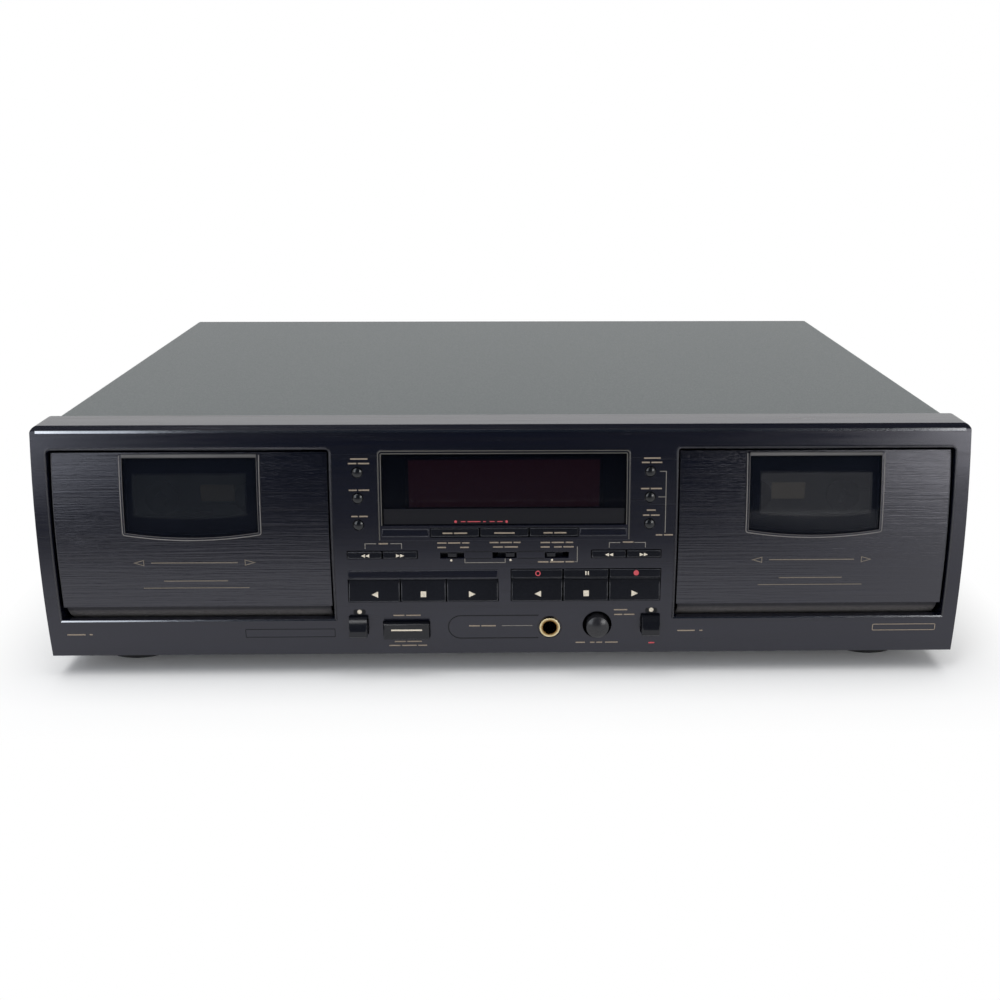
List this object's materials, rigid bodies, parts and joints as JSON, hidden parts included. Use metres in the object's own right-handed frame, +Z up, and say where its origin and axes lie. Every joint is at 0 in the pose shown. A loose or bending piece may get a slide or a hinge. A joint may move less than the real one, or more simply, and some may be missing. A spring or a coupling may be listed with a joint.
{
  "type": "double cassette deck",
  "caption": "Full-width tape deck with two tilting cassette doors, a central display, press keys, slide switches, a level knob and both tape mechanisms.",
  "frame": {"origin": "on the ground under the middle of the outer box", "axes": "+X along the front to the right, +Y from front to back, +Z up"},
  "size_m": [0.42, 0.303, 0.119],
  "materials": {
    "panel_plastic": "satin, fine horizontal hairline",
    "cover_paint": "matt powder coat",
    "zinc_steel": "zinc plated sheet",
    "rear_paint": "matt paint",
    "foot_plastic": "moulded, matt",
    "screw_steel": "black oxide",
    "smoked_lens": "polished, smoked",
    "display_glass": "dark red filtered glass",
    "board": "lacquered board",
    "transformer_steel": "varnished laminations",
    "socket_plastic": "moulded",
    "gold_ring": "plated, polished",
    "motor_steel": "plated can",
    "belt_rubber": "matt",
    "power_plastic": "satin",
    "knob_plastic": "semi-gloss",
    "door_plastic": "satin, fine horizontal hairline",
    "door_lens": "polished, smoked",
    "holder_plastic": "moulded",
    "spindle_plastic": "moulded",
    "flywheel_brass": "turned",
    "head_steel": "plated",
    "key_plastic": "semi-gloss"
  },
  "bodies": {
    "case": {"front_panel": "panel_plastic", "top_cover": "cover_paint", "base_chassis": "zinc_steel", "rear_panel": "rear_paint", "feet": "foot_plastic", "screws": "screw_steel", "display_window": "smoked_lens", "display_tube": "display_glass", "circuit_boards": "board", "power_transformer": "transformer_steel", "rear_sockets": "socket_plastic", "headphone_socket": "gold_ring", "mechanism_plates": "zinc_steel", "drive_motors": "motor_steel", "drive_belts": "belt_rubber"},
    "left_door": {"left_door_panel": "door_plastic", "left_door_window": "door_lens", "left_cassette_holder": "holder_plastic"},
    "left_supply_spindle": {"left_supply_spindle": "spindle_plastic"},
    "left_takeup_spindle": {"left_takeup_spindle": "spindle_plastic"},
    "left_flywheel_1": {"left_flywheel_1": "flywheel_brass"},
    "left_flywheel_2": {"left_flywheel_2": "flywheel_brass"},
    "left_head_base": {"left_head_base": "head_steel"},
    "left_eject_key": {"left_eject_key": "key_plastic"},
    "left_reverse_key": {"left_reverse_key": "key_plastic"},
    "left_stop_key": {"left_stop_key": "key_plastic"},
    "left_play_key": {"left_play_key": "key_plastic"},
    "left_search_back_key": {"left_search_back_key": "key_plastic"},
    "left_search_forward_key": {"left_search_forward_key": "key_plastic"},
    "left_round_button_1": {"left_round_button_1": "key_plastic"},
    "left_round_button_2": {"left_round_button_2": "key_plastic"},
    "left_round_button_3": {"left_round_button_3": "key_plastic"},
    "right_door": {"right_door_panel": "door_plastic", "right_door_window": "door_lens", "right_cassette_holder": "holder_plastic"},
    "right_supply_spindle": {"right_supply_spindle": "spindle_plastic"},
    "right_takeup_spindle": {"right_takeup_spindle": "spindle_plastic"},
    "right_flywheel_1": {"right_flywheel_1": "flywheel_brass"},
    "right_flywheel_2": {"right_flywheel_2": "flywheel_brass"},
    "right_head_base": {"right_head_base": "head_steel"},
    "right_eject_key": {"right_eject_key": "key_plastic"},
    "right_reverse_key": {"right_reverse_key": "key_plastic"},
    "right_stop_key": {"right_stop_key": "key_plastic"},
    "right_play_key": {"right_play_key": "key_plastic"},
    "right_search_back_key": {"right_search_back_key": "key_plastic"},
    "right_search_forward_key": {"right_search_forward_key": "key_plastic"},
    "right_round_button_1": {"right_round_button_1": "key_plastic"},
    "right_round_button_2": {"right_round_button_2": "key_plastic"},
    "right_round_button_3": {"right_round_button_3": "key_plastic"},
    "record_mute_key": {"record_mute_key": "key_plastic"},
    "pause_key": {"pause_key": "key_plastic"},
    "record_key": {"record_key": "key_plastic"},
    "strip_key_1": {"strip_key_1": "key_plastic"},
    "strip_key_2": {"strip_key_2": "key_plastic"},
    "strip_key_3": {"strip_key_3": "key_plastic"},
    "slide_switch_1": {"slide_switch_1": "key_plastic"},
    "slide_switch_2": {"slide_switch_2": "key_plastic"},
    "slide_switch_3": {"slide_switch_3": "key_plastic"},
    "power_button": {"power_button": "power_plastic"},
    "level_knob": {"level_knob": "knob_plastic"}
  },
  "joints": [
    {"name": "left_door_tilt", "type": "hinge", "parent": "case", "child": "left_door", "pos_m": [-0.1406, -0.12646, 0.044], "axis": [1, 0, 0], "range_deg": [0, 30]},
    {"name": "left_supply_spindle_turn", "type": "hinge", "parent": "case", "child": "left_supply_spindle", "pos_m": [-0.16185, -0.11846, 0.078], "axis": [0, 1, 0], "continuous": true},
    {"name": "left_takeup_spindle_turn", "type": "hinge", "parent": "case", "child": "left_takeup_spindle", "pos_m": [-0.11935, -0.11846, 0.078], "axis": [0, 1, 0], "continuous": true},
    {"name": "left_flywheel_1_turn", "type": "hinge", "parent": "case", "child": "left_flywheel_1", "pos_m": [-0.1686, -0.10946, 0.0495], "axis": [0, 1, 0], "continuous": true},
    {"name": "left_flywheel_2_turn", "type": "hinge", "parent": "case", "child": "left_flywheel_2", "pos_m": [-0.1126, -0.10946, 0.0495], "axis": [0, 1, 0], "continuous": true},
    {"name": "left_head_base_lift", "type": "slide", "parent": "case", "child": "left_head_base", "axis": [0, 0, 1], "range_m": [0, 0.0065], "stiffness_N_per_m": 60},
    {"name": "left_eject_key_press", "type": "slide", "parent": "case", "child": "left_eject_key", "axis": [0, 1, 0], "range_m": [0, 0.003], "stiffness_N_per_m": 300},
    {"name": "left_reverse_key_press", "type": "slide", "parent": "case", "child": "left_reverse_key", "axis": [0, 1, 0], "range_m": [0, 0.0015], "stiffness_N_per_m": 500},
    {"name": "left_stop_key_press", "type": "slide", "parent": "case", "child": "left_stop_key", "axis": [0, 1, 0], "range_m": [0, 0.0015], "stiffness_N_per_m": 500},
    {"name": "left_play_key_press", "type": "slide", "parent": "case", "child": "left_play_key", "axis": [0, 1, 0], "range_m": [0, 0.0015], "stiffness_N_per_m": 500},
    {"name": "left_search_back_key_press", "type": "slide", "parent": "case", "child": "left_search_back_key", "axis": [0, 1, 0], "range_m": [0, 0.0015], "stiffness_N_per_m": 400},
    {"name": "left_search_forward_key_press", "type": "slide", "parent": "case", "child": "left_search_forward_key", "axis": [0, 1, 0], "range_m": [0, 0.0015], "stiffness_N_per_m": 400},
    {"name": "left_round_button_1_press", "type": "slide", "parent": "case", "child": "left_round_button_1", "axis": [0, 1, 0], "range_m": [0, 0.0015], "stiffness_N_per_m": 400},
    {"name": "left_round_button_2_press", "type": "slide", "parent": "case", "child": "left_round_button_2", "axis": [0, 1, 0], "range_m": [0, 0.0015], "stiffness_N_per_m": 400},
    {"name": "left_round_button_3_press", "type": "slide", "parent": "case", "child": "left_round_button_3", "axis": [0, 1, 0], "range_m": [0, 0.0015], "stiffness_N_per_m": 400},
    {"name": "right_door_tilt", "type": "hinge", "parent": "case", "child": "right_door", "pos_m": [0.1406, -0.12646, 0.044], "axis": [1, 0, 0], "range_deg": [0, 30]},
    {"name": "right_supply_spindle_turn", "type": "hinge", "parent": "case", "child": "right_supply_spindle", "pos_m": [0.11935, -0.11846, 0.078], "axis": [0, 1, 0], "continuous": true},
    {"name": "right_takeup_spindle_turn", "type": "hinge", "parent": "case", "child": "right_takeup_spindle", "pos_m": [0.16185, -0.11846, 0.078], "axis": [0, 1, 0], "continuous": true},
    {"name": "right_flywheel_1_turn", "type": "hinge", "parent": "case", "child": "right_flywheel_1", "pos_m": [0.1126, -0.10946, 0.0495], "axis": [0, 1, 0], "continuous": true},
    {"name": "right_flywheel_2_turn", "type": "hinge", "parent": "case", "child": "right_flywheel_2", "pos_m": [0.1686, -0.10946, 0.0495], "axis": [0, 1, 0], "continuous": true},
    {"name": "right_head_base_lift", "type": "slide", "parent": "case", "child": "right_head_base", "axis": [0, 0, 1], "range_m": [0, 0.0065], "stiffness_N_per_m": 60},
    {"name": "right_eject_key_press", "type": "slide", "parent": "case", "child": "right_eject_key", "axis": [0, 1, 0], "range_m": [0, 0.003], "stiffness_N_per_m": 300},
    {"name": "right_reverse_key_press", "type": "slide", "parent": "case", "child": "right_reverse_key", "axis": [0, 1, 0], "range_m": [0, 0.0015], "stiffness_N_per_m": 500},
    {"name": "right_stop_key_press", "type": "slide", "parent": "case", "child": "right_stop_key", "axis": [0, 1, 0], "range_m": [0, 0.0015], "stiffness_N_per_m": 500},
    {"name": "right_play_key_press", "type": "slide", "parent": "case", "child": "right_play_key", "axis": [0, 1, 0], "range_m": [0, 0.0015], "stiffness_N_per_m": 500},
    {"name": "right_search_back_key_press", "type": "slide", "parent": "case", "child": "right_search_back_key", "axis": [0, 1, 0], "range_m": [0, 0.0015], "stiffness_N_per_m": 400},
    {"name": "right_search_forward_key_press", "type": "slide", "parent": "case", "child": "right_search_forward_key", "axis": [0, 1, 0], "range_m": [0, 0.0015], "stiffness_N_per_m": 400},
    {"name": "right_round_button_1_press", "type": "slide", "parent": "case", "child": "right_round_button_1", "axis": [0, 1, 0], "range_m": [0, 0.0015], "stiffness_N_per_m": 400},
    {"name": "right_round_button_2_press", "type": "slide", "parent": "case", "child": "right_round_button_2", "axis": [0, 1, 0], "range_m": [0, 0.0015], "stiffness_N_per_m": 400},
    {"name": "right_round_button_3_press", "type": "slide", "parent": "case", "child": "right_round_button_3", "axis": [0, 1, 0], "range_m": [0, 0.0015], "stiffness_N_per_m": 400},
    {"name": "record_mute_key_press", "type": "slide", "parent": "case", "child": "record_mute_key", "axis": [0, 1, 0], "range_m": [0, 0.0015], "stiffness_N_per_m": 400},
    {"name": "pause_key_press", "type": "slide", "parent": "case", "child": "pause_key", "axis": [0, 1, 0], "range_m": [0, 0.0015], "stiffness_N_per_m": 400},
    {"name": "record_key_press", "type": "slide", "parent": "case", "child": "record_key", "axis": [0, 1, 0], "range_m": [0, 0.0015], "stiffness_N_per_m": 400},
    {"name": "strip_key_1_press", "type": "slide", "parent": "case", "child": "strip_key_1", "axis": [0, 1, 0], "range_m": [0, 0.0015], "stiffness_N_per_m": 400},
    {"name": "strip_key_2_press", "type": "slide", "parent": "case", "child": "strip_key_2", "axis": [0, 1, 0], "range_m": [0, 0.0015], "stiffness_N_per_m": 400},
    {"name": "strip_key_3_press", "type": "slide", "parent": "case", "child": "strip_key_3", "axis": [0, 1, 0], "range_m": [0, 0.0015], "stiffness_N_per_m": 400},
    {"name": "slide_switch_1_slide", "type": "slide", "parent": "case", "child": "slide_switch_1", "axis": [1, 0, 0], "range_m": [-0.0026, 0.0026]},
    {"name": "slide_switch_2_slide", "type": "slide", "parent": "case", "child": "slide_switch_2", "axis": [1, 0, 0], "range_m": [-0.0052, 0]},
    {"name": "slide_switch_3_slide", "type": "slide", "parent": "case", "child": "slide_switch_3", "axis": [1, 0, 0], "range_m": [0, 0.0052]},
    {"name": "power_button_press", "type": "slide", "parent": "case", "child": "power_button", "axis": [0, 1, 0], "range_m": [0, 0.003], "stiffness_N_per_m": 300},
    {"name": "level_knob_turn", "type": "hinge", "parent": "case", "child": "level_knob", "pos_m": [0.0428, -0.14646, 0.0255], "axis": [0, 1, 0], "range_deg": [-150, 150]}
  ],
  "couplings": [
    {"joint": "left_flywheel_2_turn", "follows": "left_flywheel_1_turn", "ratio": -1},
    {"joint": "right_flywheel_2_turn", "follows": "right_flywheel_1_turn", "ratio": -1}
  ]
}
